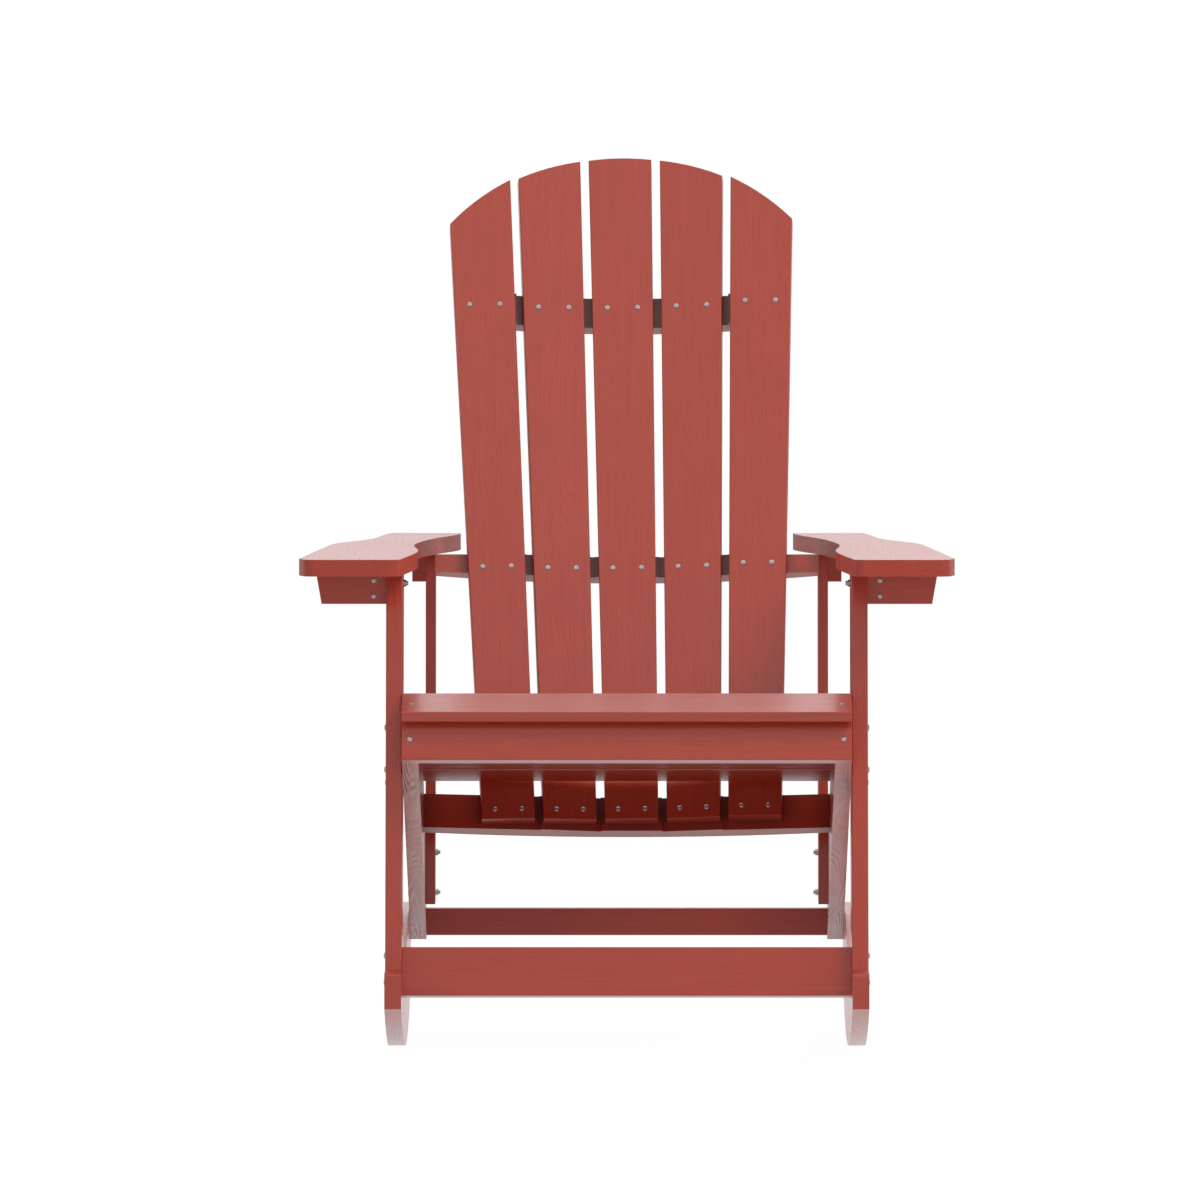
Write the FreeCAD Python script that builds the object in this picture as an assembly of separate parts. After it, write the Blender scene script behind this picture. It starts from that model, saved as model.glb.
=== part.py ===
import FreeCAD, Part
import math
import os

# Rocking adirondack chair in 20 mm plastic lumber, bolted and screwed together.
# Lengths are millimetres. +Z is up, the sitter faces -Y, +X is the right side of
# a front view. Pieces are drawn with y = 0 at the front of the front legs' feet and
# z = 0 on the floor, and the whole chair is then centred over the origin.

# Board stock
board = 19.0               # rockers, legs, seat rails, arms, apron, stretchers
seat_slat_board = 12.0
slat_board = 16.0          # back slats
back_leg_board = 11.5      # the thin rear uprights
edge_round = 2.0           # routed edge of the structural boards
slat_round = 1.5           # routed edge of the slats
seam = 0.05                # clearance between faces that meet

# Across the chair
seat_width = 510.0         # clear width between the two front legs

# Rockers
rocker_nose_y = -50.0      # front end of the rockers
rocker_tail_y = 688.0      # rear end of the rockers
rocker_radius = 1190.0     # rolling radius of the sole
rocker_contact_y = 350.0   # where the sole touches the floor, under the centre of mass
rocker_top = 110.0         # flat that carries the front leg
rocker_heel = 140.0        # raised flat behind, where the seat rail is bolted
rocker_rise_y = 330.0      # the top edge climbs from here
rocker_heel_start_y = 485.0
rocker_corner = 5.0        # rounded corners of the nose and the tail
rest_flat = 60.0           # short flat worn into the sole where the chair rests

# Legs
leg_lean = 12.5            # front legs lean back, degrees from vertical
leg_run = 90.0             # front to back, measured level
back_leg_lean = 6.0
back_leg_run = 64.0
back_leg_foot_y = 553.0    # front edge of the back leg at its foot
back_leg_foot_z = 146.0

# Arms
arm_under = 556.0          # height of the arms' undersides
arm_front_corner = 14.0
arm_rear_corner = 8.0
# Their outline, as (out from the front leg's inner face, y) points
arm_inner_edge = ((0.5, 24.0), (-8.7, 115.0), (-15.2, 245.0), (-8.8, 367.0), (-18.6, 488.0),
                  (-33.1, 568.0), (-54.1, 648.0), (-59.0, 700.0))
arm_outer_edge = ((22.4, 705.0), (33.6, 624.0), (46.0, 533.0), (66.8, 472.0), (81.5, 427.0),
                  (89.6, 367.0), (100.6, 235.0), (112.4, 82.0), (116.6, 32.0))
arm_front = ((110.0, 0.0), (2.0, 0.0))

# Arm supports
bracket_reach = 80.0       # how far the bracket stands out from the leg
bracket_undercut = 6.3     # its lower edge is this much shorter
bracket_height = 36.0
bracket_setback = 6.0      # behind the leg's front edge
cleat_width = 27.6
cleat_depth = 45.0
rear_cleat_width = 16.0
rear_cleat_depth = 44.0
rear_cleat_height = 34.0

# Apron, seat rails and stretchers
apron_lean = 17.0          # the apron stands square to the seat
apron_front_y = -8.0       # front face of the apron at its lower edge
apron_low_z = 349.0
apron_height = 48.5        # along the leaning face
rail_low_z = 345.0         # lower front corner of the seat rails
rail_pitch = 21.0          # fall of the rails' lower edge, degrees
rail_depth = 103.0         # across the rail behind the seat
rail_step = 8.0            # from the last slat to where the rail takes its full depth
rail_tail_y = 655.0        # rear end of the seat rails' lower edge
front_stretcher_low_z = 80.0
front_stretcher_height = 55.8
front_stretcher_y = 12.0   # front face at its lower edge
rear_stretcher_y = 630.0
rear_stretcher_low_z = 104.0
rear_stretcher_height = 32.0

# Seat: the front slat falls to the front, the others to the back
front_slat_low = (-11.8, 391.8)   # (y, z) of its underside's front corner
front_slat_width = 67.5
front_slat_pitch = 15.5
front_slat_screw_share = 0.42   # of its width, to its screws
seat_apex = (55.5, 409.7)  # (y, z) where the two slopes of the rails' top meet
seat_pitch = -17.2
seat_slat_width = 57.0
seat_slat_gap = 6.0
seat_slat_count = 6        # behind the front slat
seat_first_offset = 3.2    # from the apex to the first of them

# Back fan. v runs up the slats from their lower ends, n goes square into the back.
back_foot_y = 407.3        # front faces' plane at the lower ends of the slats
back_foot_z = 256.0
recline = 26.5             # degrees from vertical
back_length = 849.0        # middle slat
back_crown_radius = 268.0  # the arc cut across the slats' tops
back_skew = 0.94           # the fan hangs this many degrees askew on its rails
back_skew_v = 345.0        # height up the slats where it is centred
back_slat_count = 5
back_pitch_foot = 71.4     # slat to slat at the lower end
back_fan = 0.01497         # growth of that pitch for each millimetre up
back_slat_gap = 9.5
back_dish_foot = 1.25      # how far one slat stands forward of the middle one
back_dish_rise = 0.0042    # growth of that for each millimetre up
back_dish_turns = (0.0, 5.5, 3.5)   # degrees that slats face inwards, from the middle one out
lower_rail_v = 12.2        # the screw line of each rail, along v
middle_rail_drop = 24.8    # its screw line below its level top, along v
upper_rail_v = 654.0
lower_rail_height = 42.0
middle_rail_height = 26.0
middle_rail_below = 5.0    # from its lower edge to its screws; its ends are cut level under the arms
upper_rail_height = 38.0
back_rail_board = 19.0
upper_rail_half = 185.0    # half length of the upper rail
bed_overlap = 2.0          # the flats cut in the rails for the slats run past mid gap by this

# Fasteners
screw_shank = 1.9          # radius
screw_head = 2.9           # radius
screw_head_rise = 1.2
screw_bite = 12.0          # how far a screw goes into the board behind
screw_clearance = 0.1      # radial clearance in the drilled boards
screw_sides = 4            # facets of a shank
head_sides = 10
head_crown = 0.62          # the crown's share of a head's radius
screw_end = 10.5           # from the end of a seat slat to its screw
bolt_shank = 2.5           # radius
bolt_head = 3.65           # radius
bolt_head_rise = 2.0
bolt_sides = 6
nut_radius = 3.9
nut_rise = 3.2
bolt_tail = 2.4            # thread that shows past the nut
seat_bolt_spots = ((25.1, 380.0), (20.7, 333.0), (79.7, 315.0))   # behind the leg's front edge, height
heel_bolt_spots = ((63.0, 8.2), (39.0, 11.4))         # before the rail's tail, above its lower edge
back_leg_bolt_spots = ((37.0, 82.4), (37.0, 35.4))    # behind the leg's foot, above the rail's edge
seat_bolt_short = 4.0                                 # these stop inside the seat rail
cleat_bolt_setback = 43.6
cleat_bolt_drop = 14.0                                # below the arm
rear_cleat_bolt_drop = 18.0
stretcher_bolt_rises = (14.0, -16.0)                  # above and below the rocker's flat
stretcher_bolt_bite = 30.0

# Worked out from the values above
half_seat = seat_width / 2
leg_outer = half_seat + board
rail_inner = half_seat - board
lean = math.radians(leg_lean)
reclined = math.radians(recline)
middle_rail_v = (arm_under - back_foot_z + slat_board * math.sin(reclined)) / math.cos(reclined) - middle_rail_drop
pieces = {}


def vec(x, y, z):
    return FreeCAD.Vector(x, y, z)


def leg_front(z):
    """The y of the front legs' front edges at height z."""
    return (z - rocker_top) * math.tan(lean)


def sole(y):
    """Height of the rockers' rolling edge at y."""
    return rocker_radius - math.sqrt(rocker_radius ** 2 - (y - rocker_contact_y) ** 2)


def plate(edges, x0, x1):
    """A board whose side view is the closed chain of edges, from x0 to x1."""
    face = Part.Face(Part.Wire(edges))
    solid = face.extrude(vec(x1 - x0, 0, 0))
    solid.translate(vec(x0, 0, 0))
    return solid


def side_polygon(points, x0, x1):
    """A board whose side view is a polygon of (y, z) points, from x0 to x1."""
    loop = [vec(0, y, z) for y, z in points]
    return plate(Part.makePolygon(loop + loop[:1]).Edges, x0, x1)


def box(x0, x1, y0, y1, z0, z1):
    return Part.makeBox(x1 - x0, y1 - y0, z1 - z0, vec(x0, y0, z0))


def along(edge, axis):
    """True where a straight edge runs along axis."""
    if not isinstance(edge.Curve, Part.Line):
        return False
    return abs(edge.Curve.Direction.dot(axis)) > 0.9999


def rounded(solid, radius, axis):
    """The solid with the edges that run along axis rounded."""
    return solid.makeFillet(radius, [e for e in solid.Edges if along(e, axis)])


def face_rounded(solid, radius):
    """A side plate with the outlines of both its flat faces rounded."""
    flat = [f for f in solid.Faces if abs(f.normalAt(0, 0).x) > 0.999]
    return solid.makeFillet(radius, [e for f in flat for e in f.Edges])


def mirrored(solid):
    return solid.mirror(vec(0, 0, 0), vec(1, 0, 0))


def pair(name, solid):
    """Keep a right-hand piece and its mirror image."""
    pieces[name + "_right"] = solid
    pieces[name + "_left"] = mirrored(solid)


def rod(start, direction, length, radius, sides, taper=1.0):
    """A faceted rod; taper is the far end's share of the radius."""
    rings = []
    for far, reach in ((0, radius), (length, radius * taper)):
        turns = [math.radians(360 * k / sides) for k in range(sides)]
        ring = [vec(reach * math.cos(turn), reach * math.sin(turn), far) for turn in turns]
        rings.append(Part.makePolygon(ring + ring[:1]))
    solid = Part.makeLoft(rings, True, True)
    solid.Placement = FreeCAD.Placement(start, FreeCAD.Rotation(vec(0, 0, 1), direction))
    return solid


def head(seat, direction, radius, rise):
    """A low round head on the surface at seat, its crown away from direction."""
    out = direction * -1
    base = rod(seat, out, rise / 2, radius, head_sides)
    return base.fuse(rod(seat + out * (rise / 2), out, rise / 2, radius, head_sides, head_crown))


def screw(seat, direction, grip):
    """A pan-head screw through a board of thickness grip into the one behind."""
    shank = rod(seat, direction, grip + screw_bite, screw_shank, screw_sides)
    return head(seat, direction, screw_head, screw_head_rise).fuse(shank)


def screw_hole(seat, direction, grip):
    start = seat - direction * screw_head
    length = screw_head + grip + screw_bite + screw_clearance
    return rod(start, direction, length, screw_shank + screw_clearance, screw_sides)


def bolt(seat, direction, grip, nut=True):
    """A carriage bolt: round head on the surface at seat, nut past the grip."""
    tail = nut_rise + bolt_tail if nut else 0
    shank = rod(seat, direction, grip + tail, bolt_shank, bolt_sides)
    solid = head(seat, direction, bolt_head, bolt_head_rise).fuse(shank)
    if nut:
        solid = solid.fuse(rod(seat + direction * grip, direction, nut_rise, nut_radius, bolt_sides))
    return solid


def bolt_hole(seat, direction, grip):
    start = seat - direction * bolt_head
    length = bolt_head + grip + bolt_tail
    return rod(start, direction, length, bolt_shank + screw_clearance, bolt_sides)


def drill(name, holes):
    """Cut holes in a kept piece."""
    pieces[name] = pieces[name].cut(Part.makeCompound(holes))


def both_sides(solids):
    return solids + [mirrored(s) for s in solids]


def build_rockers():
    """Two curved runners: a rolling sole, a flat for the leg and a raised heel."""
    climb = vec(0, rocker_heel_start_y - rocker_rise_y, 0)
    top = Part.BSplineCurve()
    top.interpolate(
        Points=[vec(0, rocker_rise_y, rocker_top), vec(0, rocker_heel_start_y, rocker_heel)],
        Tangents=[climb, climb], TangentFlags=[True, True])
    half_flat = rest_flat / 2
    rest_z = sole(rocker_contact_y + half_flat)
    nose_low = vec(0, rocker_nose_y, sole(rocker_nose_y))
    nose_high = vec(0, rocker_nose_y, rocker_top)
    rise_start = vec(0, rocker_rise_y, rocker_top)
    heel_start = vec(0, rocker_heel_start_y, rocker_heel)
    tail_high = vec(0, rocker_tail_y, rocker_heel)
    tail_low = vec(0, rocker_tail_y, sole(rocker_tail_y))
    rest_rear = vec(0, rocker_contact_y + half_flat, rest_z)
    rest_front = vec(0, rocker_contact_y - half_flat, rest_z)
    rear_mid = (rocker_tail_y + rocker_contact_y + half_flat) / 2
    front_mid = (rocker_nose_y + rocker_contact_y - half_flat) / 2
    edges = [Part.makeLine(nose_low, nose_high), Part.makeLine(nose_high, rise_start), top.toShape(),
             Part.makeLine(heel_start, tail_high), Part.makeLine(tail_high, tail_low),
             Part.Arc(tail_low, vec(0, rear_mid, sole(rear_mid)), rest_rear).toShape(),
             Part.makeLine(rest_rear, rest_front),
             Part.Arc(rest_front, vec(0, front_mid, sole(front_mid)), nose_low).toShape()]
    solid = plate(edges, half_seat, leg_outer)
    ends = [e for e in solid.Edges if along(e, vec(1, 0, 0)) and e.CenterOfMass.z > rocker_top - 1
            and (e.CenterOfMass.y < rocker_nose_y + 1 or e.CenterOfMass.y > rocker_tail_y - 1)]
    solid = solid.makeFillet(rocker_corner, ends)
    pair("rocker", solid)


def build_front_legs():
    """Two leaning uprights that stand on the rockers' flats and carry the arms."""
    foot, head = rocker_top + seam, arm_under - seam
    outline = [(leg_front(foot), foot), (leg_front(foot) + leg_run, foot),
               (leg_front(head) + leg_run, head), (leg_front(head), head)]
    solid = side_polygon(outline, half_seat, leg_outer)
    pair("front_leg", rounded(solid, edge_round, vec(0, math.sin(lean), math.cos(lean))))


def along_slope(start, distance, pitch):
    """The (y, z) point a distance up a slope of pitch degrees from start."""
    angle = math.radians(pitch)
    return start[0] + distance * math.cos(angle), start[1] + distance * math.sin(angle)


def apron_back(z):
    """The y of the apron's rear face at height z."""
    tilt = math.radians(apron_lean)
    return apron_front_y + board / math.cos(tilt) + (z - apron_low_z) * math.tan(tilt)


def rail_low(y):
    """Height of the seat rails' lower edge at y."""
    return rail_low_z - (y - apron_back(rail_low_z)) * math.tan(math.radians(rail_pitch))


def build_seat_rails():
    """Two long side rails inside the legs, from the apron down to the rockers' heels."""
    steep = math.tan(math.radians(front_slat_pitch))
    tilt = math.tan(math.radians(apron_lean))
    top_z = front_slat_low[1] + steep * (apron_back(front_slat_low[1]) - front_slat_low[0])
    top_z = front_slat_low[1] + (top_z - front_slat_low[1]) / (1 - steep * tilt)
    run = seat_first_offset + seat_slat_count * (seat_slat_width + seat_slat_gap)
    seat_end = along_slope(seat_apex, run, seat_pitch)
    fall = math.radians(rail_pitch)
    tail_low = rail_low(rail_tail_y)
    tail_top = (rail_tail_y + rail_depth * math.sin(fall), tail_low + rail_depth * math.cos(fall))
    drop = rail_depth / math.cos(fall)
    step_y = seat_end[0] + rail_step
    outline = [(apron_back(rail_low_z), rail_low_z), (apron_back(top_z), top_z), seat_apex, seat_end,
               (step_y, rail_low(step_y) + drop), tail_top, (rail_tail_y, tail_low)]
    pair("seat_rail", side_polygon(outline, rail_inner + seam, half_seat - seam))


def leaning_board(x0, x1, face_y, low_z, height, angle):
    """A board on edge across the chair, its front face leaning back by angle."""
    solid = box(x0, x1, 0, board, 0, height)
    solid = rounded(solid, edge_round, vec(1, 0, 0))
    solid.rotate(vec(0, 0, 0), vec(1, 0, 0), -angle)
    solid.translate(vec(0, face_y, low_z))
    return solid


def build_cross_boards():
    """Apron on the rails' front ends, and the two stretchers that tie the sides."""
    reach = half_seat - seam
    pieces["front_apron"] = leaning_board(-reach, reach, apron_front_y - seam, apron_low_z, apron_height, apron_lean)
    pieces["front_stretcher"] = leaning_board(-reach, reach, front_stretcher_y, front_stretcher_low_z,
                                              front_stretcher_height, leg_lean)
    inner = rail_inner
    rear = box(-inner, inner, rear_stretcher_y, rear_stretcher_y + board,
               rear_stretcher_low_z, rear_stretcher_low_z + rear_stretcher_height)
    pieces["rear_stretcher"] = rounded(rear, edge_round, vec(1, 0, 0))


def seat_slat(start, pitch, width):
    """A slat across the chair whose underside starts at (y, z) and rises by pitch."""
    reach = half_seat - 2 * seam
    solid = box(-reach, reach, 0, width, 0, seat_slat_board)
    solid = rounded(solid, slat_round, vec(1, 0, 0))
    solid.translate(vec(0, 0, seam))
    solid.rotate(vec(0, 0, 0), vec(1, 0, 0), pitch)
    solid.translate(vec(0, start[0], start[1]))
    return solid


def build_seat():
    """A waterfall slat at the front and a run of slats that fall to the back."""
    slats = [(front_slat_low, front_slat_pitch, front_slat_width)]
    for k in range(seat_slat_count):
        run = seat_first_offset + k * (seat_slat_width + seat_slat_gap)
        slats.append((along_slope(seat_apex, run, seat_pitch), seat_pitch, seat_slat_width))
    screws = []
    for k, (start, pitch, width) in enumerate(slats):
        name = "seat_slat_%d" % (k + 1)
        pieces[name] = seat_slat(start, pitch, width)
        angle = math.radians(pitch)
        down = vec(0, math.sin(angle), -math.cos(angle))
        across = front_slat_screw_share if k == 0 else 0.5
        y, z = along_slope(start, width * across, pitch)
        seat = vec(half_seat - screw_end, y, z) - down * (seat_slat_board + seam)
        screws.append(screw(seat, down, seat_slat_board))
        hole = screw_hole(seat, down, seat_slat_board)
        drill(name, both_sides([hole]))
        drill("seat_rail_right", [hole])
        drill("seat_rail_left", [mirrored(hole)])
        if k == 0:
            drill("front_apron", both_sides([hole]))
    pieces["seat_slat_screws"] = Part.makeCompound(both_sides(screws))


def back_turn():
    """The turn that stands the flat drawing of the back (u, n, v) up in the chair."""
    return FreeCAD.Placement(vec(0, back_foot_y, back_foot_z), FreeCAD.Rotation(vec(1, 0, 0), -recline))


def slat_turn(side):
    """Placement of a back slat in the (u, n, v) drawing; side counts from the middle."""
    fan = math.degrees(math.atan(side * back_fan))
    dish = math.degrees(math.atan(side * side * back_dish_rise))
    turn = FreeCAD.Rotation(vec(0, 1, 0), fan)
    turn = FreeCAD.Rotation(vec(1, 0, 0), dish).multiply(turn)
    inward = math.copysign(back_dish_turns[int(abs(side))], -side)
    turn = turn.multiply(FreeCAD.Rotation(vec(0, 0, 1), inward))
    return FreeCAD.Placement(vec(side * back_pitch_foot, -side * side * back_dish_foot, 0), turn)


def skewed():
    """The fan's small turn in its own plane, about the middle rail."""
    pivot = vec(0, 0, back_skew_v)
    return FreeCAD.Placement(vec(0, 0, 0), FreeCAD.Rotation(vec(0, 1, 0), -back_skew), pivot)


def back_slat(side):
    """A tapered slat, cut across its top on the fan's common arc."""
    foot = (back_pitch_foot - back_slat_gap) / 2
    head = foot + back_length * back_fan / 2
    outline = [vec(-foot, 0, 0), vec(foot, 0, 0), vec(head, 0, back_length), vec(-head, 0, back_length)]
    blank = Part.Face(Part.makePolygon(outline + outline[:1])).extrude(vec(0, slat_board, 0))
    blank = blank.makeFillet(slat_round, [e for e in blank.Edges if e.Length > 0.9 * back_length])
    blank.Placement = slat_turn(side)
    reach = 2 * back_length
    crown = Part.makeCylinder(back_crown_radius, reach,
                              vec(0, -back_length, back_length - back_crown_radius), vec(0, 1, 0))
    below = box(-reach, reach, -back_length, back_length, -reach, back_length - back_crown_radius)
    return blank.common(crown.fuse(below))


def back_rail(half_length, v, height, sides, skew, level):
    """A back rail in the (u, n, v) drawing, its front cut to bed every slat of the fan."""
    rise = back_dish_foot + back_dish_rise * v
    pitch = back_pitch_foot + back_fan * v
    radius = pitch * pitch / (2 * rise)
    rear = slat_board + back_rail_board
    forward = half_length ** 2 / (2 * radius)
    below = middle_rail_below if level else height / 2
    lift = vec(0, 0, v - below)
    points = [vec(-half_length, rear - forward, 0), vec(0, rear, 0), vec(half_length, rear - forward, 0)]
    front = -forward - slat_board
    edges = [Part.Arc(*points).toShape(), Part.makeLine(points[2], vec(half_length, front, 0)),
             Part.makeLine(vec(half_length, front, 0), vec(-half_length, front, 0)),
             Part.makeLine(vec(-half_length, front, 0), points[0])]
    solid = Part.Face(Part.Wire(edges)).extrude(vec(0, 0, height))
    solid.translate(lift)
    beds = []
    for side in sides:
        inner = -pitch / 2 - bed_overlap if side > -sides[-1] else -half_length
        outer = pitch / 2 + bed_overlap if side < sides[-1] else half_length
        bed = box(inner, outer, -4 * slat_board, slat_board + seam, v - 2 * height, v + 2 * height)
        bed.Placement = skew.multiply(slat_turn(side))
        beds.append(bed)
    return solid.cut(Part.makeCompound(beds[:1]).fuse(beds[1:]))


def build_back():
    """Three curved rails and the fan of slats screwed to their fronts."""
    middle = (back_slat_count - 1) / 2
    sides = [k - middle for k in range(back_slat_count)]
    rails = {
        "lower_back_rail": (rail_inner, lower_rail_v, lower_rail_height),
        "middle_back_rail": (rail_inner - back_leg_board, middle_rail_v, middle_rail_height),
        "upper_back_rail": (upper_rail_half, upper_rail_v, upper_rail_height)}
    stand, skew = back_turn(), skewed()
    for name, (half_length, v, height) in rails.items():
        level = name == "middle_back_rail"
        solid = back_rail(half_length, v, height, sides, skew, level)
        solid.Placement = stand.multiply(solid.Placement)
        if level:
            solid = solid.cut(box(-half_seat, half_seat, back_foot_y, arm_outer_edge[0][1], arm_under - seam, 2 * arm_under))
        pieces[name] = solid
    screws = []
    for k, side in enumerate(sides):
        name = "back_slat_%d" % (k + 1)
        place = stand.multiply(skew).multiply(FreeCAD.Placement())
        solid = back_slat(side)
        solid.Placement = place.multiply(solid.Placement)
        pieces[name] = solid
        place = place.multiply(slat_turn(side))
        for rail, (half_length, v, height) in rails.items():
            quarter = (back_pitch_foot - back_slat_gap + back_fan * v) / 4
            for across in (-quarter, quarter):
                seat = place.multVec(vec(across, 0, v))
                direction = place.Rotation.multVec(vec(0, 1, 0))
                screws.append(screw(seat, direction, slat_board))
                hole = screw_hole(seat, direction, slat_board)
                drill(name, [hole])
                drill(rail, [hole])
    pieces["back_slat_screws"] = Part.makeCompound(screws)


def build_back_legs():
    """Thin uprights bolted inside the seat rails, under the rear of the arms."""
    head = arm_under - seam
    shift = (head - back_leg_foot_z) * math.tan(math.radians(back_leg_lean))
    outline = [(back_leg_foot_y, back_leg_foot_z), (back_leg_foot_y + back_leg_run, back_leg_foot_z),
               (back_leg_foot_y + back_leg_run + shift, head), (back_leg_foot_y + shift, head)]
    pair("back_leg", side_polygon(outline, rail_inner - back_leg_board, rail_inner - seam))


def build_arms():
    """Two broad arms: wide in front, waisted inside, swept in behind the back."""
    inner, outer = Part.BSplineCurve(), Part.BSplineCurve()
    inner.interpolate([vec(half_seat + out, y, 0) for out, y in arm_inner_edge])
    outer.interpolate([vec(half_seat + out, y, 0) for out, y in arm_outer_edge])
    corners = [vec(half_seat + out, y, 0) for out, y in arm_front]
    edges = [inner.toShape(), Part.makeLine(inner.EndPoint, outer.StartPoint), outer.toShape(),
             Part.makeLine(outer.EndPoint, corners[0]), Part.makeLine(corners[0], corners[1]),
             Part.makeLine(corners[1], inner.StartPoint)]
    solid = Part.Face(Part.Wire(edges)).extrude(vec(0, 0, board))
    solid.translate(vec(0, 0, arm_under))
    for y, radius in ((0.0, arm_front_corner), (arm_outer_edge[0][1], arm_rear_corner)):
        corner = [e for e in solid.Edges if along(e, vec(0, 0, 1)) and abs(e.CenterOfMass.y - y) < 6]
        solid = solid.makeFillet(radius, corner)
    pair("arm", solid)


def rear_cleat_middle():
    """The y of the middle of the back leg's top, where its cleat is bolted."""
    return back_leg_foot_y + (arm_under - back_leg_foot_z) * math.tan(math.radians(back_leg_lean)) + back_leg_run / 2


def build_arm_supports():
    """A bracket and cleat outside each front leg, a small cleat outside each back leg."""
    low, high = arm_under - bracket_height, arm_under - seam
    front = leg_front(arm_under) + bracket_setback
    inner = leg_outer + seam
    outline = [vec(inner, 0, low), vec(leg_outer + bracket_reach - bracket_undercut, 0, low),
               vec(leg_outer + bracket_reach, 0, high), vec(inner, 0, high)]
    bracket = Part.Face(Part.makePolygon(outline + outline[:1])).extrude(vec(0, board, 0))
    bracket.translate(vec(0, front, 0))
    pair("arm_bracket", bracket)
    back_of_bracket = front + board + seam
    cleat = box(inner, inner + cleat_width, back_of_bracket, back_of_bracket + cleat_depth, low, high)
    pair("arm_cleat", cleat)
    rear_y = rear_cleat_middle() - rear_cleat_depth / 2
    rear = box(rail_inner, rail_inner + rear_cleat_width, rear_y, rear_y + rear_cleat_depth,
               arm_under - rear_cleat_height, high)
    pair("rear_arm_cleat", rear)


def build_fasteners():
    """Screws of the apron and brackets, and the bolts of legs, rails and rockers."""
    middle_x = (half_seat + rail_inner) / 2
    tilt = math.radians(apron_lean)
    into = vec(0, math.cos(tilt), -math.sin(tilt))
    climb = vec(0, math.sin(tilt), math.cos(tilt))
    seat = vec(middle_x, apron_front_y - seam, apron_low_z) + climb * (apron_height / 2)
    apron_screw = [screw(seat, into, board)]
    pieces["apron_screws"] = Part.makeCompound(both_sides(apron_screw))
    hole = screw_hole(seat, into, board)
    drill("front_apron", both_sides([hole]))
    drill("seat_rail_right", [hole])
    drill("seat_rail_left", [mirrored(hole)])

    front = leg_front(arm_under) + bracket_setback
    bracket_screws, holes = [], []
    for share in (0.25, 0.75):
        seat = vec(leg_outer + cleat_width / 2, front, arm_under - bracket_height * share)
        bracket_screws.append(screw(seat, vec(0, 1, 0), board))
        holes.append(screw_hole(seat, vec(0, 1, 0), board))
    pieces["arm_bracket_screws"] = Part.makeCompound(both_sides(bracket_screws))
    for name in ("arm_bracket", "arm_cleat"):
        drill(name + "_right", holes)
        drill(name + "_left", [mirrored(h) for h in holes])

    inward = vec(-1, 0, 0)
    seat_spots = [(leg_front(z) + setback, z) for setback, z in seat_bolt_spots]
    heel_spots = [(rail_tail_y - before, rail_low(rail_tail_y - before) + rise) for before, rise in heel_bolt_spots]
    back_spots = [(back_leg_foot_y + behind, rail_low(back_leg_foot_y + behind) + rise)
                  for behind, rise in back_leg_bolt_spots]
    cleat_spots = [(leg_front(arm_under) + cleat_bolt_setback, arm_under - cleat_bolt_drop)]
    rear_spots = [(rear_cleat_middle(), arm_under - rear_cleat_bolt_drop)]
    groups = {
        "seat_bolts": (leg_outer, 2 * board - seat_bolt_short, seat_spots, ("front_leg", "seat_rail")),
        "heel_bolts": (leg_outer, 2 * board - seat_bolt_short, heel_spots, ("rocker", "seat_rail")),
        "back_leg_bolts": (half_seat - seam, board + back_leg_board - seam, back_spots, ("seat_rail", "back_leg")),
        "arm_cleat_bolts": (leg_outer + seam + cleat_width, cleat_width + board, cleat_spots,
                            ("arm_cleat", "front_leg")),
        "rear_cleat_bolts": (rail_inner + rear_cleat_width, rear_cleat_width + back_leg_board, rear_spots,
                             ("rear_arm_cleat", "back_leg"))}
    for name, (outside, grip, places, boards) in groups.items():
        nut = name not in ("seat_bolts", "heel_bolts")
        bolts = [bolt(vec(outside, y, z), inward, grip, nut) for y, z in places]
        holes = [bolt_hole(vec(outside, y, z), inward, grip) for y, z in places]
        pieces[name] = Part.makeCompound(both_sides(bolts))
        for board_name in boards:
            drill(board_name + "_right", holes)
            drill(board_name + "_left", [mirrored(h) for h in holes])

    stretcher_bolts = []
    for rise, boards in zip(stretcher_bolt_rises, ("front_leg", "rocker")):
        z = rocker_top + rise
        y = front_stretcher_y + (z - front_stretcher_low_z) * math.tan(lean) + board / 2 / math.cos(lean)
        seat = vec(leg_outer, y, z)
        stretcher_bolts.append(bolt(seat, inward, board + stretcher_bolt_bite, nut=False))
        hole = bolt_hole(seat, inward, board + stretcher_bolt_bite)
        drill(boards + "_right", [hole])
        drill(boards + "_left", [mirrored(hole)])
        drill("front_stretcher", both_sides([hole]))
    pieces["front_stretcher_bolts"] = Part.makeCompound(both_sides(stretcher_bolts))


def export_all():
    """Centre the chair over the origin and write one file per piece."""
    whole = Part.makeCompound(list(pieces.values()))
    middle_y = (whole.BoundBox.YMin + whole.BoundBox.YMax) / 2
    low_z = whole.BoundBox.ZMin
    os.makedirs("parts", exist_ok=True)
    mass_y = 0.0
    volume = 0.0
    for name, shape in pieces.items():
        for solid in shape.Solids:
            mass_y += solid.CenterOfMass.y * solid.Volume
            volume += solid.Volume
        shape.translate(vec(0, -middle_y, -low_z))
        shape.exportStep("parts/%s.step" % name)
    box_all = Part.makeCompound(list(pieces.values())).BoundBox
    print("nodes", len(pieces))
    print("centre of mass y %.1f, sole contact y %.1f, shift %.2f" % (mass_y / volume, rocker_contact_y, -middle_y))
    print("box x %.1f %.1f y %.1f %.1f z %.1f %.1f" % (
        box_all.XMin, box_all.XMax, box_all.YMin, box_all.YMax, box_all.ZMin, box_all.ZMax))


build_rockers()
build_front_legs()
build_seat_rails()
build_cross_boards()
build_seat()
build_back_legs()
build_back()
build_arms()
build_arm_supports()
build_fasteners()
export_all()
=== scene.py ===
import math

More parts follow.
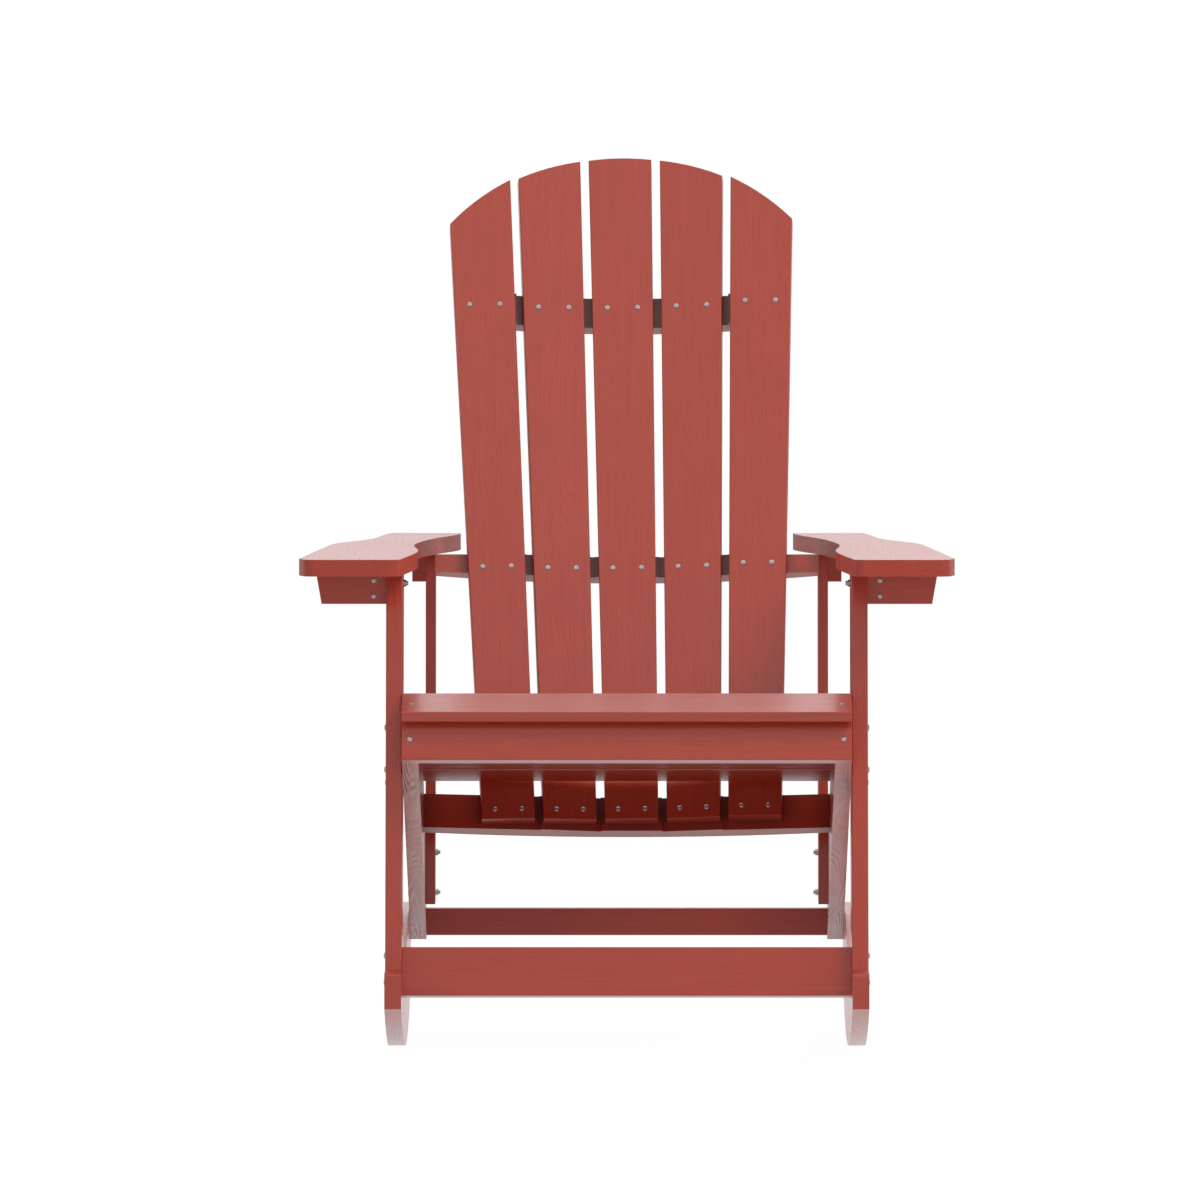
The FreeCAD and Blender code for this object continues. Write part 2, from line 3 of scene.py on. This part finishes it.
import bmesh
import bpy
from mathutils import Matrix, Vector

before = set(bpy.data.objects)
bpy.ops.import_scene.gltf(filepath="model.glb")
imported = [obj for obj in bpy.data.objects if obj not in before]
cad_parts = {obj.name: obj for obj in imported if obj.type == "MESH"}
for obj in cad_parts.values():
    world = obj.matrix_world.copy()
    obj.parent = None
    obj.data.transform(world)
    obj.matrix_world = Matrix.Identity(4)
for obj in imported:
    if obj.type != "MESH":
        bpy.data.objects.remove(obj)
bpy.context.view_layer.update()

# Rockers: two curved runners sawn from the widest planks, with their edges routed. The front
# legs stand on them, the seat rails are bolted to their raised heels, and the chair rolls on
# their soles. Their grain runs from nose to tail, drawn coarser than the slats' so that it shows.
SAWN_EDGE_MM = 1.6
BEVEL_SEGMENTS = 3
SQUARE_EDGE_DEG = 50
ROCKER_LINE_MM = 2.6
ROCKER_DEPTH_MM = 1.0

# Plastic lumber, the stuff of every board here: recycled HDPE extruded in 3/4 inch planks,
# coloured brick red right through, with a sawn wood grain pressed into its skin. The skin is
# dull and waxy: it scatters a broad pale sheen where it is seen edge on.
LUMBER_DARK = "#9A2609"
LUMBER_RED = "#A22B0C"
LUMBER_PALE = "#A82F0F"
DARK_STOP = 0.36
RED_STOP = 0.5
PALE_STOP = 0.66
GROOVE_ROUGHNESS = 0.47
RIDGE_ROUGHNESS = 0.35
GROOVE_TO_RIDGE = (0.3, 0.7)
HDPE_IOR = 1.52
WAXY_COAT = 0.6
COAT_ROUGHNESS = 0.2
# The grain's real lines are finer than this, too fine to show, so they are drawn this coarse.
# A broader band runs among them, BAND_TO_LINE times as wide.
GRAIN_LINE_MM = 1.6
GRAIN_RUN_MM = 70.0
GRAIN_DEPTH_MM = 0.5
GRAIN_STRENGTH = 0.65
BAND_TO_LINE = 3.5
BAND_SHARE = 0.3
# Growth rings are lines of equal height in a slow noise, RINGS of them over its range. They
# swing least outside the patches of the clouds, and most inside. The boards across the chair
# show them less.
RING_FIELD_MM = 46.0
RING_RUN_MM = 420.0
RINGS = 30.0
RING_SHARE = 0.6
PLAIN_RING_SHARE = 0.15
RING_TINT = 0.2
RING_SWINGS = (0.06, 0.5)
PATCH_EDGES = (0.42, 0.62)
CLOUD_MM = 90.0
CLOUD_TINT = 0.2
# Painted shade: on the back rails, ambient occlusion darkens the colour and thins the waxy coat within
# this reach of a surface standing close over the skin, as shade in the crevices between the slats. It is
# sampled this many times.
PAINTED_SHADE_REACH_MM = 26.0
PAINTED_SHADE_SAMPLES = 4


def linear(hex_colour):
    """Linear RGBA of an sRGB hex colour."""
    channels = [int(hex_colour[k:k + 2], 16) / 255 for k in (1, 3, 5)]
    return [c / 12.92 if c <= 0.04045 else ((c + 0.055) / 1.055) ** 2.4 for c in channels] + [1.0]


def add(tree, kind, inputs=None, **settings):
    """A node with its settings; inputs are values, or sockets to link from."""
    node = tree.nodes.new(kind)
    for name, value in settings.items():
        setattr(node, name, value)
    for name, value in (inputs or {}).items():
        if isinstance(value, bpy.types.NodeSocket):
            tree.links.new(value, node.inputs[name])
        else:
            node.inputs[name].default_value = value
    return node


def new_material(name):
    """An empty node material and its output node."""
    material = bpy.data.materials.new(name)
    material.use_nodes = True
    material.node_tree.nodes.clear()
    return material, material.node_tree.nodes.new("ShaderNodeOutputMaterial")


def pressed_grain(tree, place, turned, along, seed, line_mm):
    """Sockets of the fine relief, the growth rings and the slow clouds, each from 0 to 1."""
    lines, run = 1000 / line_mm, 1000 / GRAIN_RUN_MM
    stretch = (run, lines, lines) if along == "X" else (lines, run, lines)
    band_stretch = [value / BAND_TO_LINE for value in stretch]
    fine = add(tree, "ShaderNodeMapping", {
        "Vector": turned, "Scale": stretch, "Location": (seed, seed, seed)})
    coarse = add(tree, "ShaderNodeMapping", {
        "Vector": turned, "Scale": band_stretch, "Location": (seed, 0, seed)})
    streaks = add(tree, "ShaderNodeTexNoise", {
        "Vector": fine.outputs["Vector"], "Scale": 1.0, "Detail": 4.0, "Roughness": 0.6})
    bands = add(tree, "ShaderNodeTexNoise", {
        "Vector": coarse.outputs["Vector"], "Scale": 1.0, "Detail": 3.0, "Distortion": 0.6})
    relief = add(tree, "ShaderNodeMix", {
        "Factor": BAND_SHARE, "A": streaks.outputs["Fac"], "B": bands.outputs["Fac"]})

    across, length = 1000 / RING_FIELD_MM, 1000 / RING_RUN_MM
    ring_stretch = (length, across, across) if along == "X" else (across, length, across)
    ring_place = add(tree, "ShaderNodeMapping", {
        "Vector": turned, "Scale": ring_stretch, "Location": (seed, seed, 0)})
    field = add(tree, "ShaderNodeTexNoise", {
        "Vector": ring_place.outputs["Vector"], "Scale": 1.0, "Detail": 1.0})
    phase = add(tree, "ShaderNodeMath", {
        0: field.outputs["Fac"], 1: 2 * math.pi * RINGS}, operation="MULTIPLY")
    wave = add(tree, "ShaderNodeMath", {0: phase.outputs[0]}, operation="SINE")

    cloud = add(tree, "ShaderNodeTexNoise", {"Vector": place, "Scale": 1000 / CLOUD_MM, "Detail": 2.0})
    patch = add(tree, "ShaderNodeMapRange", {
        "Value": cloud.outputs["Fac"], "From Min": PATCH_EDGES[0], "From Max": PATCH_EDGES[1],
        "To Min": RING_SWINGS[0], "To Max": RING_SWINGS[1]})
    rings = add(tree, "ShaderNodeMath", {
        0: wave.outputs[0], 1: patch.outputs["Result"], 2: 0.5}, operation="MULTIPLY_ADD")
    return relief.outputs["Result"], rings.outputs[0], cloud.outputs["Fac"]


def grained_lumber(name, tilt=0.0, along="Y", seed=0.0, line_mm=GRAIN_LINE_MM,
                   depth_mm=GRAIN_DEPTH_MM, paint_crevice_shade=False):
    """Lumber whose grain runs along X, or along Y tilted up by tilt degrees. When crevice shade is
    asked for, shade is painted in: ambient occlusion darkens the colour and thins the waxy coat
    near whatever stands close over the skin."""
    ring_share = RING_SHARE if along == "Y" else PLAIN_RING_SHARE
    material, output = new_material(name)
    tree = material.node_tree
    place = add(tree, "ShaderNodeTexCoord").outputs["Object"]
    turned = add(tree, "ShaderNodeMapping", {
        "Vector": place, "Rotation": (math.radians(-tilt), 0, 0)}).outputs["Vector"]
    relief, rings, cloud = pressed_grain(tree, place, turned, along, seed, line_mm)

    lined = add(tree, "ShaderNodeMix", {"Factor": RING_TINT * ring_share, "A": relief, "B": rings})
    shade = add(tree, "ShaderNodeMix", {"Factor": CLOUD_TINT, "A": lined.outputs["Result"], "B": cloud})
    colour = add(tree, "ShaderNodeValToRGB", {"Fac": shade.outputs["Result"]})
    stops = colour.color_ramp.elements
    stops[0].position, stops[1].position = DARK_STOP, PALE_STOP
    stops[0].color, stops[1].color = linear(LUMBER_DARK), linear(LUMBER_PALE)
    stops.new(RED_STOP).color = linear(LUMBER_RED)

    gloss = add(tree, "ShaderNodeMapRange", {
        "Value": relief, "From Min": GROOVE_TO_RIDGE[0], "From Max": GROOVE_TO_RIDGE[1],
        "To Min": GROOVE_ROUGHNESS, "To Max": RIDGE_ROUGHNESS})
    pressed = add(tree, "ShaderNodeMix", {"Factor": ring_share, "A": relief, "B": rings})
    bump = add(tree, "ShaderNodeBump", {
        "Height": pressed.outputs["Result"], "Strength": GRAIN_STRENGTH, "Distance": depth_mm / 1000})
    skin = add(tree, "ShaderNodeBsdfPrincipled", {
        "Base Color": colour.outputs["Color"], "Roughness": gloss.outputs["Result"], "IOR": HDPE_IOR,
        "Coat Weight": WAXY_COAT, "Coat Roughness": COAT_ROUGHNESS, "Normal": bump.outputs["Normal"]})
    # Painted shade: darker colour and a thinner coat where the skin lies in a crevice.
    if paint_crevice_shade:
        painted_shade = add(tree, "ShaderNodeAmbientOcclusion", {
            "Color": colour.outputs["Color"], "Distance": PAINTED_SHADE_REACH_MM / 1000}, samples=PAINTED_SHADE_SAMPLES)
        shaded_coat = add(tree, "ShaderNodeMapRange", {"Value": painted_shade.outputs["AO"], "To Max": WAXY_COAT})
        tree.links.new(painted_shade.outputs["Color"], skin.inputs["Base Color"])
        tree.links.new(shaded_coat.outputs["Result"], skin.inputs["Coat Weight"])
    tree.links.new(skin.outputs["BSDF"], output.inputs["Surface"])
    return material


def dress(names, material, eased_edge_mm=0.0):
    """Gives CAD nodes their material, and eases their square edges by a small bevel."""
    for name in names:
        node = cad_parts[name]
        node.data.materials.clear()
        node.data.materials.append(material)
        if eased_edge_mm:
            bevel = node.modifiers.new("eased_edges", "BEVEL")
            bevel.width = eased_edge_mm / 1000
            bevel.segments = BEVEL_SEGMENTS
            bevel.limit_method = "ANGLE"
            bevel.angle_limit = math.radians(SQUARE_EDGE_DEG)
            bevel.harden_normals = True


dress(["rocker_left", "rocker_right"],
      grained_lumber("rocker_lumber", seed=3.1, line_mm=ROCKER_LINE_MM, depth_mm=ROCKER_DEPTH_MM),
      SAWN_EDGE_MM)

# Legs: a broad front pair that leans back on the rockers, and a thin rear pair bolted inside
# the seat rails. Both are planks on end, so the grain climbs with them.
FRONT_LEG_LEAN_DEG = 12.5
BACK_LEG_LEAN_DEG = 6.0
PLANK_EDGE_MM = 0.8
dress(["front_leg_left", "front_leg_right"],
      grained_lumber("front_leg_lumber", tilt=90 - FRONT_LEG_LEAN_DEG, seed=7.7), PLANK_EDGE_MM)
dress(["back_leg_left", "back_leg_right"],
      grained_lumber("back_leg_lumber", tilt=90 - BACK_LEG_LEAN_DEG, seed=1.9), PLANK_EDGE_MM)

# Seat rails: long planks that fall from under the front slat to the rockers' raised heels.
# Their grain is drawn the coarsest and deepest, far more so than it is, so that its wavy lines
# show along their undersides.
SEAT_RAIL_FALL_DEG = 21.0
SEAT_RAIL_LINE_MM = 3.4
SEAT_RAIL_DEPTH_MM = 4.0
dress(["seat_rail_left", "seat_rail_right"],
      grained_lumber("seat_rail_lumber", tilt=-SEAT_RAIL_FALL_DEG, seed=5.3,
                     line_mm=SEAT_RAIL_LINE_MM, depth_mm=SEAT_RAIL_DEPTH_MM),
      PLANK_EDGE_MM)

# Apron, stretchers and back rails: boards across the chair, with their edges left square. The
# # three back rails are curved and carry the back slats, and between those they lie in crevices,
# # where shade is painted in: their colour is darkened and their sheen thinned.
dress(["front_apron"], grained_lumber("apron_lumber", along="X", seed=11.2))
dress(["front_stretcher", "rear_stretcher"], grained_lumber("stretcher_lumber", along="X", seed=4.6))
dress(["lower_back_rail", "middle_back_rail", "upper_back_rail"],
      grained_lumber("back_rail_lumber", along="X", seed=8.4, paint_crevice_shade=True))

# Seat slats: thin planks laid across the seat rails and screwed down at both ends. Each has
# its own stretch of grain, a step further along the same pattern.
SEAT_SLATS = 7
SEAT_GRAIN_STEP = 2.3
for k in range(1, SEAT_SLATS + 1):
    dress(["seat_slat_%d" % k],
          grained_lumber("seat_slat_lumber_%d" % k, along="X", seed=SEAT_GRAIN_STEP * k))

# Back slats: tapered planks that fan out to a rounded crown and lean back, screwed to the
# three back rails. The grain climbs each one and differs from its neighbours'.
BACK_SLATS = 5
BACK_RECLINE_DEG = 26.5
BACK_GRAIN_STEP = 3.7
for k in range(1, BACK_SLATS + 1):
    dress(["back_slat_%d" % k],
          grained_lumber("back_slat_lumber_%d" % k, tilt=90 - BACK_RECLINE_DEG, seed=BACK_GRAIN_STEP * k))

# Arms with their brackets and cleats: broad shaped planks, routed round their edges, that lie
# on the legs' tops. The brackets and cleats are short offcuts, screwed and bolted beside the
# legs under them.
dress(["arm_left", "arm_right"], grained_lumber("arm_lumber", seed=6.5), SAWN_EDGE_MM)
dress(["arm_bracket_left", "arm_bracket_right"],
      grained_lumber("bracket_lumber", along="X", seed=9.1), PLANK_EDGE_MM)
dress(["arm_cleat_left", "arm_cleat_right", "rear_arm_cleat_left", "rear_arm_cleat_right"],
      grained_lumber("cleat_lumber", along="X", seed=0.7), PLANK_EDGE_MM)

# Screws and bolts: pan-head screws hold slats, apron and brackets, and carriage bolts the
# frame. They are stainless steel, cold headed and tumbled: bright, with a soft grey scatter
# rather than a mirror's. The tumbling's marks are drawn coarser than they are, to show.
STAINLESS = "#A4A7A8"
PEENED_ROUGHNESS = 0.26
SCUFFED_ROUGHNESS = 0.44
TUMBLE_MARK_MM = 0.6
TUMBLE_DEPTH_MM = 0.1
TUMBLE_STRENGTH = 0.15


def tumbled_stainless():
    """Stainless steel dulled unevenly by the marks of tumbling."""
    material, output = new_material("tumbled_stainless")
    tree = material.node_tree
    place = add(tree, "ShaderNodeTexCoord").outputs["Object"]
    marks = add(tree, "ShaderNodeTexNoise", {
        "Vector": place, "Scale": 1000 / TUMBLE_MARK_MM, "Detail": 2.0}).outputs["Fac"]
    gloss = add(tree, "ShaderNodeMapRange", {
        "Value": marks, "To Min": PEENED_ROUGHNESS, "To Max": SCUFFED_ROUGHNESS})
    bump = add(tree, "ShaderNodeBump", {
        "Height": marks, "Strength": TUMBLE_STRENGTH, "Distance": TUMBLE_DEPTH_MM / 1000})
    metal = add(tree, "ShaderNodeBsdfPrincipled", {
        "Base Color": linear(STAINLESS), "Metallic": 1.0, "Roughness": gloss.outputs["Result"],
        "Normal": bump.outputs["Normal"]})
    tree.links.new(metal.outputs["BSDF"], output.inputs["Surface"])
    return material


SCREWS = ["seat_slat_screws", "back_slat_screws", "apron_screws", "arm_bracket_screws"]
BOLTS = ["seat_bolts", "heel_bolts", "back_leg_bolts", "arm_cleat_bolts", "rear_cleat_bolts",
         "front_stretcher_bolts"]
dress(SCREWS + BOLTS, tumbled_stainless())

# Drive sockets: every screw has a six-sided pit in its head for the driver, pressed in when
# the head is formed. The carriage bolts have plain heads.
SOCKET_RADIUS_MM = 1.15
SOCKET_DEPTH_MM = 0.9
SOCKET_SIDES = 6
# A crown is the flat top of a head: the one face with this many corners, all this near its
# middle. It is found in a copy of the mesh with its triangles joined.
HEAD_SIDES = 10
CROWN_REACH_MM = 2.2
SAME_POINT_MM = 0.001
FLAT_DEG = 0.5


def press_sockets(name):
    """Sinks a six-sided pit into each head of a node of screws."""
    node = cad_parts[name]
    heads = bmesh.new()
    heads.from_mesh(node.data)
    bmesh.ops.remove_doubles(heads, verts=heads.verts, dist=SAME_POINT_MM / 1000)
    bmesh.ops.dissolve_limit(heads, angle_limit=math.radians(FLAT_DEG), verts=heads.verts,
                             edges=heads.edges)
    punch = bmesh.new()
    radius = SOCKET_RADIUS_MM / 1000
    reach = CROWN_REACH_MM / 1000
    for face in heads.faces:
        middle = face.calc_center_median()
        near = all((vert.co - middle).length < reach for vert in face.verts)
        if near and len(face.verts) == HEAD_SIDES:
            turn = face.normal.to_track_quat("Z", "Y").to_matrix().to_4x4()
            bmesh.ops.create_cone(punch, cap_ends=True, segments=SOCKET_SIDES, radius1=radius,
                                  radius2=radius, depth=2 * SOCKET_DEPTH_MM / 1000,
                                  matrix=Matrix.Translation(node.matrix_world @ middle) @ turn)
    mesh = bpy.data.meshes.new(name + "_punch")
    punch.to_mesh(mesh)
    punch.free()
    heads.free()
    tool = bpy.data.objects.new(name + "_punch", mesh)
    bpy.context.scene.collection.objects.link(tool)
    tool.hide_render = tool.hide_viewport = True
    pit = node.modifiers.new("drive_sockets", "BOOLEAN")
    pit.operation = "DIFFERENCE"
    pit.solver = "EXACT"
    pit.object = tool


for name in SCREWS:
    press_sockets(name)

# Floor: a white studio sweep, sizes in metres. The camera and the chair's sheen see it white,
# with a share left to the lamps so that the chair's shadow shows, and it throws back the light
# of a pale grey floor. In the sheen it is lit round the chair and dim beyond.
FLOOR_SIDE = 60.0
FLOOR_GREY = "#E6E6E6"
SHADOW_SHARE = 0.1
FLOOR_GLOW = 0.97
FAR_FLOOR_GLOW = 0.12
LIT_FLOOR = 3.0

bpy.ops.mesh.primitive_plane_add(size=FLOOR_SIDE)
floor = bpy.context.object
floor.name = "studio_floor"
floor_material, floor_output = new_material("studio_floor_white")
tree = floor_material.node_tree
rays = add(tree, "ShaderNodeLightPath").outputs
seen, mirrored = rays["Is Camera Ray"], rays["Is Glossy Ray"]
plain = add(tree, "ShaderNodeBsdfDiffuse", {"Color": linear(FLOOR_GREY)})
faint = add(tree, "ShaderNodeBsdfDiffuse", {"Color": [SHADOW_SHARE] * 3 + [1]})
spot = add(tree, "ShaderNodeTexCoord").outputs["Object"]
away = add(tree, "ShaderNodeVectorMath", {0: spot}, operation="LENGTH")
lit = add(tree, "ShaderNodeMapRange", {
    "Value": away.outputs["Value"], "From Min": LIT_FLOOR, "From Max": 2 * LIT_FLOOR,
    "To Min": FLOOR_GLOW, "To Max": FAR_FLOOR_GLOW})
strength = add(tree, "ShaderNodeMix", {"Factor": mirrored, "A": FLOOR_GLOW, "B": lit.outputs["Result"]})
glow = add(tree, "ShaderNodeEmission", {"Color": (1, 1, 1, 1), "Strength": strength.outputs["Result"]})
shown = add(tree, "ShaderNodeAddShader", {0: faint.outputs["BSDF"], 1: glow.outputs["Emission"]})
bright = add(tree, "ShaderNodeMath", {0: seen, 1: mirrored}, operation="MAXIMUM")
choice = add(tree, "ShaderNodeMixShader", {
    0: bright.outputs[0], 1: plain.outputs["BSDF"], 2: shown.outputs["Shader"]})
tree.links.new(choice.outputs["Shader"], floor_output.inputs["Surface"])
floor.data.materials.append(floor_material)

# Room: white to the camera, and a faint even light on the chair. The chair's sheen sees a
# brighter ceiling, and high up behind the chair a brighter panel. Heights and directions are
# those of a ball around the chair, of radius 1.
ROOM_LIGHT = 0.3
CEILING_SHEEN = 1.4
CEILING_HEIGHTS = (0.3, 0.8)
REAR_PANEL_SHEEN = 0.8
REAR_PANEL_AIM = (0, 0.58, 0.81)
REAR_PANEL_REACH = (0.8, 1.0)

world = bpy.data.worlds.new("studio_room")
bpy.context.scene.world = world
world.use_nodes = True
tree = world.node_tree
tree.nodes.clear()
rays = add(tree, "ShaderNodeLightPath").outputs
seen, mirrored = rays["Is Camera Ray"], rays["Is Glossy Ray"]
toward = add(tree, "ShaderNodeTexCoord").outputs["Generated"]
height = add(tree, "ShaderNodeSeparateXYZ", {"Vector": toward}).outputs["Z"]
ceiling = add(tree, "ShaderNodeMapRange", {
    "Value": height, "From Min": CEILING_HEIGHTS[0], "From Max": CEILING_HEIGHTS[1],
    "To Min": 1.0, "To Max": CEILING_SHEEN})
behind = add(tree, "ShaderNodeVectorMath", {0: toward, 1: REAR_PANEL_AIM}, operation="DOT_PRODUCT")
rear_panel = add(tree, "ShaderNodeMapRange", {
    "Value": behind.outputs["Value"], "From Min": REAR_PANEL_REACH[0],
    "From Max": REAR_PANEL_REACH[1], "To Max": REAR_PANEL_SHEEN})
above = add(tree, "ShaderNodeMath", {0: ceiling.outputs["Result"], 1: rear_panel.outputs["Result"]})
sheen = add(tree, "ShaderNodeMix", {"Factor": seen, "A": above.outputs[0], "B": 1.0})
direct = add(tree, "ShaderNodeMath", {0: seen, 1: mirrored}, operation="MAXIMUM")
level = add(tree, "ShaderNodeMix", {
    "Factor": direct.outputs[0], "A": ROOM_LIGHT, "B": sheen.outputs["Result"]})
room = add(tree, "ShaderNodeBackground", {"Color": (1, 1, 1, 1), "Strength": level.outputs["Result"]})
room_output = tree.nodes.new("ShaderNodeOutputWorld")
tree.links.new(room.outputs["Background"], room_output.inputs["Surface"])

# Lamps: soft boxes, four dim ones in front, two strong ones behind and one above to the right.
# They light the boards without showing as squares in the waxy sheen.


def softbox(name, place, aim, side, watts):
    """A square soft light at place, turned towards the point it is aimed at."""
    lamp = bpy.data.lights.new(name, "AREA")
    lamp.shape = "SQUARE"
    lamp.size = side
    lamp.energy = watts
    holder = bpy.data.objects.new(name, lamp)
    bpy.context.scene.collection.objects.link(holder)
    holder.location = place
    holder.visible_glossy = False
    holder.rotation_euler = (Vector(aim) - Vector(place)).to_track_quat("-Z", "Y").to_euler()


softbox("right_softbox", place=(3.9, -4.3, 1.2), aim=(0, 0, 0.45), side=2.2, watts=23)
softbox("left_softbox", place=(-3.9, -4.3, 1.2), aim=(0, 0, 0.45), side=2.2, watts=18)
softbox("high_front_softbox", place=(0, -5.6, 2.6), aim=(0, 0, 0.45), side=1.5, watts=6)
softbox("low_front_softbox", place=(0, -5.8, 0.62), aim=(0, 0, 0.4), side=1.2, watts=21)
softbox("right_rear_softbox", place=(3.9, 2.5, 1.5), aim=(0, 0.1, 0.5), side=2.0, watts=92)
softbox("left_rear_softbox", place=(-3.9, 2.5, 1.5), aim=(0, 0.1, 0.5), side=2.0, watts=70)
softbox("top_softbox", place=(2.2, -1.8, 3.6), aim=(0, 0, 0.5), side=1.8, watts=85)

# Camera: a long lens well back in front of the chair, a little above it, as photographed. Its
# place in metres and its length in picture pixels were fitted to the lines of the arms, the
# seat and the rockers.
PICTURE_PIXELS = 1200
LENS_PIXELS = 14159.0
CAMERA_BACK = 16.3752
CAMERA_HEIGHT = 1.30
HORIZON_ROW = -82.1
MIDDLE_COLUMN = 626.9
SENSOR_MM = 36.0
FARTHEST_SEEN = 400

lens = bpy.data.cameras.new("portrait_lens")
lens.sensor_width = SENSOR_MM
lens.lens = SENSOR_MM * LENS_PIXELS / PICTURE_PIXELS
lens.clip_end = FARTHEST_SEEN
camera = bpy.data.objects.new("camera", lens)
bpy.context.scene.collection.objects.link(camera)
camera.location = (0, -CAMERA_BACK, CAMERA_HEIGHT)
pitch = math.atan((PICTURE_PIXELS / 2 - HORIZON_ROW) / LENS_PIXELS)
yaw = math.atan((MIDDLE_COLUMN - PICTURE_PIXELS / 2) / LENS_PIXELS)
camera.rotation_euler = (math.pi / 2 - pitch, 0, yaw)
bpy.context.scene.camera = camera
bpy.context.scene.view_settings.view_transform = "Standard"
